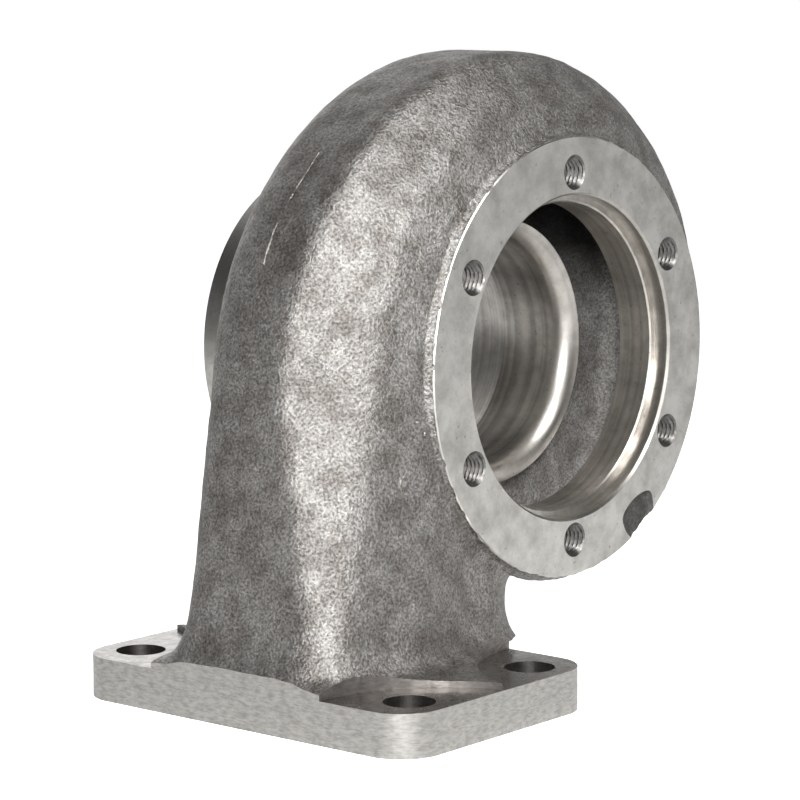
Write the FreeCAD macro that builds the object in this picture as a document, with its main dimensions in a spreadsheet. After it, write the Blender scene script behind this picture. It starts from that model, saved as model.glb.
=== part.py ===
"""Turbine housing of a turbocharger: one iron casting with machined faces.

Frame: X to the right, Y towards the exhaust outlet, Z up, in millimetres.
The origin is on the underside of the foot, at the centre of its four bolt holes.
The turbine axis is parallel to Y. The ring that takes the bearing housing faces -Y.
"""
import FreeCAD, Part
import math
import os
import re

import Sketcher
from FreeCAD import Placement, Rotation, Vector

doc = FreeCAD.newDocument("turbine_housing")

# Driving dimensions
DIMENSIONS = [
    ("axis_offset", 61.3, "turbine axis, to the right of the inlet centre"),
    ("axis_height", 81.9, "turbine axis above the underside of the foot"),
    ("ring_setback", 28.9, "ring face in front of the inlet centre"),
    ("wall", 5.5, "cast wall of the scroll"),
    # scroll: reach is the outer radius about the turbine axis, and it falls along the wrap
    ("scroll_wrap", 300.0, "angle from the level of the axis to the tongue"),
    ("reach_0", 87.0, "at the left, level with the axis"),
    ("fall_1", 0.0736, "fall of the reach, as a share of it, one sixth of the wrap on"),
    ("fall_2", 0.1172, "two sixths on"),
    ("fall_3", 0.1575, "three sixths on"),
    ("fall_4", 0.2161, "four sixths on"),
    ("fall_5", 0.2977, "five sixths on"),
    ("fall_6", 0.3851, "at the tongue"),
    ("root_start", 35.0, "inner side of the skin, buried in the hub, at the start"),
    ("tongue_skin", 9.5, "depth of the skin at the tongue, from its outside to its inner side"),
    ("front_start", 23.0, "front of the shoulder, ahead of the inlet centre, at the start"),
    ("front_end", 20.0, "front of the shoulder at the tongue"),
    ("ring_step", 0.6, "ring face stands this far proud of the skin beside it"),
    ("meet_outside", 1.0, "the front of the skin levels off this far outside the ring, at the start"),
    ("meet_tongue", 6.5, "and this far inside the reach at the tongue"),
    ("meet_power", 3.0, "how late along the wrap it moves in"),
    ("back_start", 24.0, "back of the scroll behind the inlet centre, at the start"),
    ("back_end", 2.0, "back of the scroll at the tongue"),
    ("back_power", 1.6, "how late along the wrap the back comes in"),
    ("shoulder_depth_start", 15.5, "sloped front shoulder, along the axis, at the start"),
    ("shoulder_depth_end", 3.0, "at the tongue"),
    ("depth_power", 0.8, "how early along the wrap that depth shrinks"),
    ("shoulder_share_start", 0.533, "sloped front shoulder, across, as a share of the front, at the start"),
    ("shoulder_share_end", 0.308, "at the tongue"),
    ("share_power", 1.5, "how late along the wrap that share shrinks"),
    ("crease_cut", 2.5, "eased edge between outer flank and shoulder, at the start"),
    ("shoulder_cut", 0.25, "eased edge between shoulder and front, as a share of each side"),
    ("root_cut", 4.0, "eased front edge at the hub, at the start"),
    ("root_back_round", 8.0, "round back edge at the hub, at the start"),
    ("back_round", 16.0, "round edge between outer flank and back, at the start"),
    ("end_round", 0.25, "share of the rounds left at the tongue"),
    # neck between the scroll and the foot
    ("neck_left", 33.2, "left side of the neck above the flare, from the inlet centre"),
    ("neck_right", 38.5, "right side of the neck where its flare meets the foot"),
    ("neck_waist", 35.8, "right side of the neck above the flare, its narrowest place"),
    ("flare_left", 38.2, "left side of the neck where its flare meets the foot, before milling"),
    ("flare_front", 32.0, "front right corner where the flare meets the foot"),
    ("flare_back", 27.5, "back where the flare meets the foot"),
    ("flare_height", 9.0, "height of the flare above the foot"),
    # gas passage
    ("port_across", 54.0, "inlet port along X"),
    ("port_along", 36.0, "inlet port along Y"),
    ("port_round", 8.0, "corners of the inlet port"),
    ("passage_root", 34.0, "inner side of the passage, outer side of the shroud lip"),
    ("tongue_wall", 7.0, "wall outside the passage at the tongue"),
    ("passage_back_end", 7.0, "passage's back, ahead of the inlet centre, at the tongue"),
    ("passage_round", 11.0, "corners of the passage at the start"),
    # ring, register and wheel chamber
    ("ring_diameter", 112.0, "ring that takes the bearing housing"),
    ("ring_thickness", 7.0, "straight edge of the ring"),
    ("stud_circle", 94.0, "pitch circle of the tapped holes"),
    ("stud_count", 6.0, "tapped holes, M8"),
    ("tap_bore", 6.8, "core of the M8 thread"),
    ("tap_depth", 17.0, "depth of the tapped hole"),
    ("register_bore", 82.6, "register of the bearing housing"),
    ("register_depth", 4.5, "depth of the register"),
    ("chamber_bore", 78.8, "wheel chamber"),
    ("chamber_depth", 14.4, "ring face to the front of the volute slot"),
    ("lip_depth", 24.0, "ring face to the shroud lip"),
    ("lip_round", 4.0, "rounding of the lip into the exducer bore"),
    ("exducer_bore", 58.4, "shroud bore round the turbine wheel"),
    ("exducer_length", 18.0, "straight part of the shroud bore behind the lip"),
    ("relief_radius", 5.3, "unmachined hollow at the rim of the ring"),
    ("relief_depth", 1.0, "depth of that hollow"),
    ("relief_reach", 51.9, "its centre from the turbine axis"),
    ("relief_angle", -57.4, "its place round the ring"),
    # hub and outlet
    ("hub_waist", 49.0, "radius of the cast hub behind the ring"),
    ("hub_back", 45.0, "radius of the cast hub towards the outlet"),
    ("outlet_reach", 57.8, "outlet face behind the inlet centre"),
    ("outlet_diameter", 92.0, "clamp flange of the outlet"),
    ("outlet_rim", 4.2, "width of the clamp flange at its edge"),
    ("outlet_groove", 84.0, "diameter of the groove behind the clamp flange"),
    ("outlet_groove_width", 5.5, "width of that groove"),
    ("outlet_bore", 76.0, "outlet bore at its face"),
    # foot
    ("foot_across", 71.6, "foot along X"),
    ("foot_along", 109.2, "foot along Y"),
    ("foot_thickness", 10.7, "foot at its spotfaces"),
    ("foot_cast_rise", 1.6, "cast top above the spotfaces"),
    ("foot_corner", 11.0, "corner radius of the foot"),
    ("foot_holes_across", 45.6, "bolt holes along X"),
    ("foot_holes_along", 88.3, "bolt holes along Y"),
    ("foot_hole", 12.5, "diameter of the bolt holes"),
    ("spotface_radius", 29.0, "spotface about each corner of the foot"),
]
FALL_COUNT = 6
SCROLL_COUNT = 2 * FALL_COUNT
PASSAGE_COUNT = 4 * FALL_COUNT
NEAREST_COUNT = 4
TOP_STUD_ANGLE = 90.0
# part of a round corner's cut that its middle point keeps from each side
ROUND_MIDDLE = 0.293

sheet = doc.addObject("Spreadsheet::Sheet", "sizes")
for row, (alias, value, note) in enumerate(DIMENSIONS, start=1):
    sheet.set("A%d" % row, alias)
    sheet.set("B%d" % row, str(value))
    sheet.set("C%d" % row, note)
    sheet.setAlias("B%d" % row, alias)
doc.recompute()


def size(formula):
    """Value of a formula in which every word is a cell of the sheet."""
    return float(sheet.evalExpression(formula))


def bind(formula):
    """The same formula as other objects write it, with the sheet's name before each cell."""
    cells = {alias for alias, _, _ in DIMENSIONS}
    word = re.compile(r"[a-z][a-z0-9_]*")
    return word.sub(lambda m: "sizes." + m.group() if m.group() in cells else m.group(), formula)


def place(thing, x="0", y="0", z="0"):
    """Bind the position of an object to the sheet."""
    for axis, formula in zip("xyz", (x, y, z)):
        thing.setExpression("Placement.Base.%s" % axis, bind(formula))


def outline(name, corners):
    """Closed sketch through corners (x, y, radius), each a formula; radius None leaves a sharp corner."""
    sketch = doc.addObject("Sketcher::SketchObject", name)
    points = [Vector(size(x), size(y), 0) for x, y, _ in corners]
    radii = [size(r) if r else 0.0 for _, _, r in corners]
    count = len(corners)
    starts, ends, arcs = [], [], []
    for i, (point, radius) in enumerate(zip(points, radii)):
        to_last = (points[i - 1] - point).normalize()
        to_next = (points[(i + 1) % count] - point).normalize()
        half = to_last.getAngle(to_next) / 2
        cut = radius / math.tan(half)
        ends.append(point + to_last * cut)
        starts.append(point + to_next * cut)
        centre = point + (to_last + to_next).normalize() * (radius / math.sin(half))
        left_turn = to_next.cross(to_last).z > 0
        arcs.append((centre, radius, left_turn))
    lines = [sketch.addGeometry(Part.LineSegment(starts[i], ends[(i + 1) % count])) for i in range(count)]
    for i, (x, y, radius) in enumerate(corners):
        before, after = lines[i - 1], lines[i]
        if radius:
            centre, length, left_turn = arcs[i]
            first, last = (ends[i], starts[i]) if left_turn else (starts[i], ends[i])
            angle_1 = math.atan2(first.y - centre.y, first.x - centre.x)
            angle_2 = math.atan2(last.y - centre.y, last.x - centre.x)
            circle = Part.Circle(centre, Vector(0, 0, 1), length)
            arc = sketch.addGeometry(Part.ArcOfCircle(circle, angle_1, angle_2))
            sketch.addConstraint(Sketcher.Constraint("Tangent", before, 2, arc, 1 if left_turn else 2))
            sketch.addConstraint(Sketcher.Constraint("Tangent", arc, 2 if left_turn else 1, after, 1))
            corner = sketch.addGeometry(Part.Point(points[i]), True)
            sketch.addConstraint(Sketcher.Constraint("PointOnObject", corner, 1, before))
            sketch.addConstraint(Sketcher.Constraint("PointOnObject", corner, 1, after))
            fixed = sketch.addConstraint(Sketcher.Constraint("Radius", arc, length))
            sketch.setExpression("Constraints[%d]" % fixed, bind(radius))
        else:
            corner = after
            sketch.addConstraint(Sketcher.Constraint("Coincident", before, 2, after, 1))
        for kind, formula, value in (("DistanceX", x, points[i].x), ("DistanceY", y, points[i].y)):
            fixed = sketch.addConstraint(Sketcher.Constraint(kind, -1, 1, corner, 1, value))
            sketch.setExpression("Constraints[%d]" % fixed, bind(formula))
    return sketch


def across_axis(sketch, angle="0", drop="0"):
    """Stand a sketch in a plane through the turbine axis: its X points away from the axis, its Y is Y.

    The angle runs from the left over the top; drop lowers the plane towards the foot.
    """
    sketch.Placement = Placement(Vector(0, 0, 0), Rotation(Vector(0, 1, 0), 180))
    sketch.setExpression("Placement.Rotation.Angle", "180 + " + bind(angle))
    place(sketch, "axis_offset", "0", "axis_height - (%s)" % drop)
    return sketch


def mix(start, end, share, power="1"):
    """Formula that runs from start to end as the share of the wrap goes from 0 to 1."""
    return "((%s) + ((%s) - (%s)) * %.4f ^ %s)" % (start, end, start, share, power)


def reach_at(share):
    """Formula for the reach at a share of the wrap: its fall follows the cubic through the nearest cells."""
    at = share * FALL_COUNT
    first = min(max(math.floor(at) - 1, 0), FALL_COUNT + 1 - NEAREST_COUNT)
    terms = ["1"]
    for cell in range(first, first + NEAREST_COUNT):
        weight = 1.0
        for other in range(first, first + NEAREST_COUNT):
            if other != cell:
                weight *= (at - other) / (cell - other)
        if cell and weight:
            terms.append("(%.5f) * fall_%d" % (weight, cell))
    return "(reach_0 * (%s))" % " - ".join(terms)


def loft(name, sections, ruled=False):
    """Solid through the sections, smooth, or flat from each section to the next."""
    solid = doc.addObject("Part::Loft", name)
    solid.Sections = sections
    solid.Solid = True
    solid.Ruled = ruled
    solid.MaxDegree = 3
    for sketch in sections:
        sketch.Visibility = False
    return solid


# Cast skin of scroll and neck
def skin_section(name, reach, root, front, depth, share, meet, ring_level, back, ease, rounds, **where):
    """Section of the skin with eased corners.

    Round it go the outer flank, the round back, the root in the hub, the part level with the ring,
    the front and the sloped shoulder, which runs back by depth over its width to the outer flank.
    Its width is a share of the front's run from where it levels off to the outer flank.
    """
    back_round, root_round = rounds
    edge = "shoulder_cut"
    crease = "%s + %s" % (front, depth)
    width = "%s * (%s - (%s))" % (share, reach, meet)
    shoulder = "%s - %s" % (reach, width)
    front_run = "(%s - (%s))" % (shoulder, meet)
    front_drop = "(%s - (%s))" % (front, ring_level)
    points = [
        (reach, "%s + crease_cut * %s" % (crease, ease)),
        (reach, "%s - %s" % (back, back_round)),
        ("%s - ROUND * %s" % (reach, back_round), "%s - ROUND * %s" % (back, back_round)),
        ("%s - %s" % (reach, back_round), back),
        ("%s + %s" % (root, root_round), back),
        ("%s + ROUND * %s" % (root, root_round), "%s - ROUND * %s" % (back, root_round)),
        (root, "%s - %s" % (back, root_round)),
        (root, "%s + root_cut * %s" % (ring_level, ease)),
        ("%s + root_cut * %s" % (root, ease), ring_level),
        (meet, ring_level),
        ("%s - %s * %s" % (shoulder, edge, front_run), "%s - %s * %s" % (front, edge, front_drop)),
        ("%s + %s * %s" % (shoulder, edge, width), "%s + %s * %s" % (front, edge, depth)),
        ("%s - 0.15 * %s" % (reach, width), "%s - 0.15 * %s" % (crease, depth)),
    ]
    middle = "%.3f" % ROUND_MIDDLE
    corners = [(x.replace("ROUND", middle), y.replace("ROUND", middle), None) for x, y in points]
    return across_axis(outline(name, corners), **where)


def scroll_section(index):
    """Section of the skin at one of the stations along the wrap."""
    share = index / SCROLL_COUNT
    ease = "(1 - (1 - end_round) * %.4f)" % share
    tongue = reach_at(1)
    return skin_section(
        "scroll_%d" % index,
        reach_at(share),
        mix("root_start", tongue + " - tongue_skin", share),
        mix("-front_start", "-front_end", share),
        mix("shoulder_depth_start", "shoulder_depth_end", share, "depth_power"),
        mix("shoulder_share_start", "shoulder_share_end", share, "share_power"),
        mix("ring_diameter / 2 + meet_outside", tongue + " - meet_tongue", share, "meet_power"),
        "-(ring_setback - ring_step)",
        mix("back_start", "back_end", share, "back_power"),
        ease,
        ("back_round * " + ease, "root_back_round * " + ease),
        angle="scroll_wrap * %.4f" % share,
    )


def between(start, end, share):
    """Formula part of the way from start to end."""
    return "(%s + (%s - (%s)) * %.4f)" % (start, end, start, share)


def neck_section(name, height, spread, flare):
    """Section of the neck at a height, from the scroll's first section (spread 0) to the full neck (1)."""
    narrow = between("reach_0", "axis_offset + neck_left", spread)
    waist = between("root_start", "axis_offset - neck_waist", spread)
    return skin_section(
        name,
        between(narrow, "axis_offset + flare_left", flare),
        between(waist, "axis_offset - neck_right", flare),
        "-(front_start + %.4f * (flare_front - ring_setback))" % (0.6 * flare),
        "shoulder_depth_start * %.4f" % (1 - 0.1 * spread),
        "shoulder_share_start * %.4f" % (1 - 0.3 * spread),
        "ring_diameter / 2 + meet_outside",
        "-" + between("(ring_setback - ring_step)", "flare_front", flare),
        between("back_start", "flare_back", flare),
        "1",
        (between("back_round", "0.5 * back_round", spread), "root_back_round"),
        drop="axis_height - (%s)" % height,
    )


flare_top = "foot_thickness + flare_height"
skin = loft(
    "skin",
    [
        neck_section("neck_base", "foot_thickness - 1", 1.0, 1.0),
        neck_section("neck_flare", "foot_thickness + 0.3 * flare_height", 1.0, 0.42),
        neck_section("neck_low", flare_top, 0.85, 0.04),
        neck_section("neck_middle", "0.55 * axis_height", 0.5, 0.0),
    ]
    + [scroll_section(index) for index in range(SCROLL_COUNT + 1)],
)

# Foot
half_x, half_y = "foot_across / 2", "foot_along / 2"
foot_plan = outline(
    "foot_plan",
    [
        ("-" + half_x, "-" + half_y, "foot_corner"),
        (half_x, "-" + half_y, "foot_corner"),
        (half_x, half_y, "foot_corner"),
        ("-" + half_x, half_y, "foot_corner"),
    ],
)
foot = doc.addObject("Part::Extrusion", "foot")
foot.Base = foot_plan
foot.Dir = Vector(0, 0, 1)
foot.Solid = True
foot.setExpression("LengthFwd", bind("foot_thickness + foot_cast_rise"))


def turned(name, profile):
    """Solid turned about the turbine axis from (radius, distance behind the ring face) corners."""
    corners = [(radius, "-ring_setback + (%s)" % depth, None) for radius, depth in profile]
    sketch = outline(name + "_profile", corners)
    place(sketch, "axis_offset", "0", "axis_height")
    solid = doc.addObject("Part::Revolution", name)
    solid.Source = sketch
    solid.Axis = Vector(0, 1, 0)
    solid.Angle = 360
    solid.Solid = True
    solid.setExpression("Base.x", bind("axis_offset"))
    solid.setExpression("Base.z", bind("axis_height"))
    return solid


# Ring, hub and outlet flange, turned solid and bored later
outlet_depth = "ring_setback + outlet_reach"
groove_back = "%s - outlet_rim - 0.18 * (outlet_diameter - outlet_groove)" % outlet_depth
groove_front = "%s - outlet_groove_width" % groove_back
core = turned(
    "core",
    [
        ("0", "0"),
        ("ring_diameter / 2 - 0.6", "0"),
        ("ring_diameter / 2", "0.6"),
        ("ring_diameter / 2", "ring_thickness"),
        ("hub_waist + 1.5", "chamber_depth - 1"),
        ("hub_waist", "chamber_depth + 2"),
        ("hub_back", "lip_depth + 24"),
        ("hub_back", groove_front),
        ("outlet_groove / 2", groove_front),
        ("outlet_groove / 2", groove_back),
        ("outlet_diameter / 2", "%s - outlet_rim" % outlet_depth),
        ("outlet_diameter / 2", "%s - 0.5" % outlet_depth),
        ("outlet_diameter / 2 - 0.5", outlet_depth),
        ("0", outlet_depth),
    ],
)

casting = doc.addObject("Part::MultiFuse", "casting")
casting.Shapes = [skin, foot, core]

# Gas passage from the inlet port round to the tongue
passage_front = "-(ring_setback - chamber_depth)"


def passage_section(name, outer, inner, front, back, cut, **where):
    """Four-sided section of the passage with eased corners, cut no further than its sides allow."""
    cut = "min(%s; 0.3 * (%s - %s); 0.3 * (%s - %s))" % (cut, outer, inner, back, front)
    corners = [
        (outer, "%s + %s" % (front, cut), None),
        (outer, "%s - %s" % (back, cut), None),
        ("%s - %s" % (outer, cut), back, None),
        ("%s + %s" % (inner, cut), back, None),
        (inner, "%s - %s" % (back, cut), None),
        (inner, "%s + %s" % (front, cut), None),
        ("%s + %s" % (inner, cut), front, None),
        ("%s - %s" % (outer, cut), front, None),
    ]
    return across_axis(outline(name, corners), **where)


def passage_station(index):
    """Passage at a station along the wrap, one wall inside the skin."""
    share = index / PASSAGE_COUNT
    return passage_section(
        "passage_%d" % index,
        "%s - %s" % (reach_at(share), "wall" if index < PASSAGE_COUNT else "tongue_wall"),
        "passage_root",
        passage_front,
        mix("back_start - wall", "-passage_back_end", share, "back_power"),
        "0.7 * passage_round * (1 - (1 - end_round) * %.4f)" % share,
        angle="scroll_wrap * %.4f" % share,
    )


def neck_passage(name, height, spread):
    """Passage at a height of the neck, from the first station (spread 0) to the inlet port (1)."""
    return passage_section(
        name,
        between("reach_0 - wall", "axis_offset + port_across / 2", spread),
        between("passage_root", "axis_offset - port_across / 2", spread),
        between(passage_front, "-port_along / 2", spread),
        between("back_start - wall", "port_along / 2", spread),
        between("0.7 * passage_round", "0.7 * port_round", spread),
        drop="axis_height - (%s)" % height,
    )


passage = loft(
    "passage",
    [
        neck_passage("port_mouth", "-1", 1.0),
        neck_passage("port_throat", "foot_thickness", 0.97),
        neck_passage("passage_low", "0.35 * axis_height", 0.72),
        neck_passage("passage_neck", "0.6 * axis_height", 0.39),
        neck_passage("passage_high", "0.82 * axis_height", 0.13),
    ]
    + [passage_station(index) for index in range(PASSAGE_COUNT + 1)],
    ruled=True,
)

# Register, wheel chamber, shroud lip, exducer bore and outlet cone in one turned cut
bore = turned(
    "bore",
    [
        ("0", "-1"),
        ("register_bore / 2 + 0.6", "-1"),
        ("register_bore / 2 + 0.6", "0"),
        ("register_bore / 2", "0.6"),
        ("register_bore / 2", "register_depth"),
        ("chamber_bore / 2", "register_depth"),
        ("chamber_bore / 2", "lip_depth"),
        ("exducer_bore / 2 + lip_round", "lip_depth"),
        ("exducer_bore / 2 + 0.5 * lip_round", "lip_depth + 0.134 * lip_round"),
        ("exducer_bore / 2 + 0.134 * lip_round", "lip_depth + 0.5 * lip_round"),
        ("exducer_bore / 2", "lip_depth + lip_round"),
        ("exducer_bore / 2", "lip_depth + lip_round + exducer_length"),
        ("outlet_bore / 2", outlet_depth),
        ("outlet_bore / 2", "%s + 1" % outlet_depth),
        ("0", "%s + 1" % outlet_depth),
    ],
)


def drill(name, radius, height, x, y, z, turn=None):
    """Round cutter with its base at (x, y, z); turn stands it along Y."""
    tool = doc.addObject("Part::Cylinder", name)
    if turn:
        tool.Placement = Placement(Vector(0, 0, 0), turn)
    tool.setExpression("Radius", bind(radius))
    tool.setExpression("Height", bind(height))
    place(tool, x, y, z)
    return tool


INTO_FACE = Rotation(Vector(1, 0, 0), -90)


# Core holes of the threads in the ring, set out from its top
def tapped_hole(index):
    """Core hole of one stud."""
    angle = "(%s + 360 * %d / stud_count)" % (TOP_STUD_ANGLE, index)
    x = "axis_offset + stud_circle / 2 * cos(%s * 1 deg)" % angle
    z = "axis_height + stud_circle / 2 * sin(%s * 1 deg)" % angle
    return drill("tap_%d" % index, "tap_bore / 2", "tap_depth", x, "-ring_setback", z, INTO_FACE)


cutters = [bore, passage] + [tapped_hole(index) for index in range(int(size("stud_count")))]

# Bolt holes and corner spotfaces of the foot
for right in (-1, 1):
    for back in (-1, 1):
        mark = "%s_%s" % ("right" if right > 0 else "left", "back" if back > 0 else "front")
        cutters.append(
            drill(
                "bolt_hole_" + mark,
                "foot_hole / 2",
                "foot_thickness + foot_cast_rise + 2",
                "%d * foot_holes_across / 2" % right,
                "%d * foot_holes_along / 2" % back,
                "-1",
            )
        )
        cutters.append(
            drill(
                "spotface_" + mark,
                "spotface_radius",
                "flare_height",
                "%d * foot_across / 2" % right,
                "%d * foot_along / 2" % back,
                "foot_thickness",
            )
        )

# Sides of the foot, milled flush through the flare of the neck
for right in (-1, 1):
    side = doc.addObject("Part::Box", "side_mill_right" if right > 0 else "side_mill_left")
    side.setExpression("Length", bind("foot_across / 2"))
    side.setExpression("Width", bind("foot_along"))
    side.setExpression("Height", bind("foot_thickness + flare_height + 1"))
    start = "foot_across / 2" if right > 0 else "-foot_across"
    place(side, start, "-foot_along / 2", "-1")
    cutters.append(side)

# Unmachined hollow at the rim of the ring
cutters.append(
    drill(
        "rim_relief",
        "relief_radius",
        "relief_depth",
        "axis_offset + relief_reach * cos(relief_angle * 1 deg)",
        "-ring_setback",
        "axis_height + relief_reach * sin(relief_angle * 1 deg)",
        INTO_FACE,
    )
)

removed = doc.addObject("Part::MultiFuse", "removed")
removed.Shapes = cutters
housing = doc.addObject("Part::Cut", "housing")
housing.Base = casting
housing.Tool = removed
housing.Label = "turbine_housing"
doc.recompute()

# Checks and export
for thing in doc.Objects:
    if "Invalid" in thing.State or "Error" in thing.State:
        raise RuntimeError("%s failed: %s" % (thing.Name, thing.State))
nodes = [housing]
for node in nodes:
    if node.Shape.isNull() or not node.Shape.isValid() or len(node.Shape.Solids) != 1:
        raise RuntimeError("%s is not one valid solid" % node.Label)
os.makedirs("parts", exist_ok=True)
for node in nodes:
    node.Shape.exportStep(os.path.join("parts", node.Label + ".step"))
    box = node.Shape.BoundBox
    print(node.Label, "solids", len(node.Shape.Solids), "volume %.0f" % node.Shape.Volume)
    print("box x %.2f..%.2f y %.2f..%.2f z %.2f..%.2f" % (box.XMin, box.XMax, box.YMin, box.YMax, box.ZMin, box.ZMax))
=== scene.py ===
"""Turbine housing of a turbocharger: one grey iron sand casting with turned and milled faces.

Lengths in this file are millimetres until a mesh is made. X runs to the side of the turbine axis,
Y along that axis towards the exhaust outlet, Z up. The origin is under the foot, between its holes.
"""
import bpy
import math
import numpy as np
from mathutils import Matrix


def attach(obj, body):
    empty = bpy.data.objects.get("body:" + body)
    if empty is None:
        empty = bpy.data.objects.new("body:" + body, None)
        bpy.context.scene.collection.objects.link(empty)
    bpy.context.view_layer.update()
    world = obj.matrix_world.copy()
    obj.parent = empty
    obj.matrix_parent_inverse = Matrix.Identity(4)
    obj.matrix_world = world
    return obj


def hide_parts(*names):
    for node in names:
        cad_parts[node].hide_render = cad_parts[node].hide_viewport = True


MM = 0.001
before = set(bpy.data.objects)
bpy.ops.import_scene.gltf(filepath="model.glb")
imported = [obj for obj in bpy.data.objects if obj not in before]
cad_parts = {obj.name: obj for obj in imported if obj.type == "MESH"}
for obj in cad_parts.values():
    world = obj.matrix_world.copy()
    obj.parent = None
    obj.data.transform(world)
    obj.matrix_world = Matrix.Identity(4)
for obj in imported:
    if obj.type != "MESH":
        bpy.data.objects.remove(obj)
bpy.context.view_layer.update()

# Main dimensions, the same as in the part's source
AXIS_X = 61.3
AXIS_Z = 81.9
RING_Y = -28.9
RING_RADIUS = 56.0
STUD_RADIUS = 47.0
REGISTER = 41.3
CHAMBER = 39.4
SHROUD = 29.2
OUTLET_Y = 57.8
OUTLET_RADIUS = 46.0
OUTLET_GROOVE = 42.0
OUTLET_BORE = 38.0
FOOT_X = 71.6
FOOT_Y = 109.2
FOOT_Z = 10.7
FOOT_RISE = 1.6
FOOT_CORNER = 11.0
HOLE_X = 45.6
HOLE_Y = 88.3
HOLE_RADIUS = 6.25
WALL = 5.5
WRAP = math.radians(300)

# Shapes that follow the photograph more closely than the part's source does: the scroll's outer
# radius at equal steps of the wrap, the lip, the spotfaces and the relief low on the neck's front
REACHES = [87.0, 80.6, 76.75, 74.2, 66.9, 60.5, 53.5]
LIP = 6.0
SPOTFACE = 37.6
SPOTFACE_OUT = 10.6
HOLLOW_X = 20.0
HOLLOW_DEPTH = 1.4
RIB_X = 31.5
RIB_HEIGHT = 1.3
RELIEF_Z = 24.0

# Stock on the raw casting that machining takes off
PAD = 1.5
STOCK = 1.5

# Marks on this casting: places on its skin, and the outline of the hollow at the ring's rim
BUMPS = [
    (-7.1, -24.2, 67.3), (-6.2, -24.6, 63.6), (-4.8, -24.9, 59.8), (4.0, -27.1, 68.9), (1.9, -26.6, 71.8),
]
BUMP_RADII = (0.9, 0.7, 0.9)
PIMPLE = (-1.7, -25.8, 57.1)
FLASH_RADIUS = 0.42
FLASH = [(0.0, 2.6, 135.7), (-8.7, 3.6, 125.8), (-14.3, 4.6, 117.4), (-18.3, 4.6, 109.7)]
RELIEF = [(94.6, 43.0), (95.2, 36.0), (86.8, 31.6), (82.2, 37.4), (87.6, 42.2)]


# Surfaces
def smooth(knots, values, at):
    """Cubic Hermite curve through values at knots, its slopes taken from the neighbours on both sides."""
    knots = np.asarray(knots, float)
    values = np.asarray(values, float)
    flat = values.ndim == 1
    values = values.reshape(len(knots), -1)
    slope = np.gradient(values, knots, axis=0)
    cell = np.clip(np.searchsorted(knots, at, side="right") - 1, 0, len(knots) - 2)
    width = (knots[cell + 1] - knots[cell])[:, None]
    t = (at - knots[cell])[:, None] / width
    out = (
        (1 + 2 * t) * (1 - t) ** 2 * values[cell]
        + t * (1 - t) ** 2 * width * slope[cell]
        + t**2 * (3 - 2 * t) * values[cell + 1]
        + t**2 * (t - 1) * width * slope[cell + 1]
    )
    return out[:, 0] if flat else out


def rounded(corners, radii, arc=8, side=6):
    """Outlines of polygons with round corners.

    corners is (stations, count, 2) and radii (stations, count). Each corner gives an arc tangent to
    both of its sides, and points in equal steps fill the straight from one arc to the next.
    """
    to_last = np.roll(corners, 1, axis=1) - corners
    to_next = np.roll(corners, -1, axis=1) - corners
    to_last /= np.linalg.norm(to_last, axis=2, keepdims=True)
    to_next /= np.linalg.norm(to_next, axis=2, keepdims=True)
    half = np.arccos(np.clip((to_last * to_next).sum(2), -1, 1)) / 2
    cut = (radii / np.tan(half))[..., None]
    bisector = to_last + to_next
    bisector /= np.linalg.norm(bisector, axis=2, keepdims=True)
    centre = corners + bisector * (radii / np.sin(half))[..., None]
    first, last = corners + to_last * cut - centre, corners + to_next * cut - centre
    sweep = (np.pi - 2 * half)[..., None, None]
    t = np.linspace(0, 1, arc)[:, None]
    arcs = centre[:, :, None] + (
        first[:, :, None] * np.sin((1 - t) * sweep) + last[:, :, None] * np.sin(t * sweep)
    ) / np.sin(sweep)
    ends = arcs[:, :, -1:]
    starts = np.roll(arcs[:, :, :1], -1, axis=1)
    t = np.linspace(0, 1, side + 2)[1:-1, None]
    straights = ends * (1 - t) + starts * t
    return np.concatenate([arcs, straights], axis=2).reshape(len(corners), -1, 2)


def new_object(name, points, faces, material=None):
    """Object from points in millimetres and faces."""
    mesh = bpy.data.meshes.new(name)
    mesh.from_pydata((np.asarray(points) * MM).tolist(), [], faces)
    mesh.update()
    thing = bpy.data.objects.new(name, mesh)
    bpy.context.scene.collection.objects.link(thing)
    if material:
        mesh.materials.append(material)
    return thing


def tube(name, grid, material=None, ring=False):
    """Closed solid from a grid of rows by columns: the columns run round it.

    Flat ends close it, or with ring set its last row meets its first.
    """
    rows, columns = grid.shape[:2]
    index = np.arange(rows * columns).reshape(rows, columns)
    lower = index if ring else index[:-1]
    upper = np.roll(index, -1, axis=0) if ring else index[1:]
    quads = np.stack(
        [lower, np.roll(lower, -1, axis=1), np.roll(upper, -1, axis=1), upper], axis=-1
    ).reshape(-1, 4)
    faces = quads.tolist()
    if not ring:
        faces += [index[0, ::-1].tolist(), index[-1].tolist()]
    thing = new_object(name, grid.reshape(-1, 3), faces, material)
    outward(thing)
    return thing


def outward(thing):
    """Turn a closed mesh the right way out by the sign of its volume."""
    mesh = thing.data
    mesh.calc_loop_triangles()
    count = len(mesh.vertices)
    points = np.empty(count * 3)
    mesh.vertices.foreach_get("co", points)
    points = points.reshape(-1, 3)
    triangles = np.empty(len(mesh.loop_triangles) * 3, int)
    mesh.loop_triangles.foreach_get("vertices", triangles)
    a, b, c = points[triangles.reshape(-1, 3)].transpose(1, 0, 2)
    if (a * np.cross(b, c)).sum() < 0:
        mesh.flip_normals()


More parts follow.
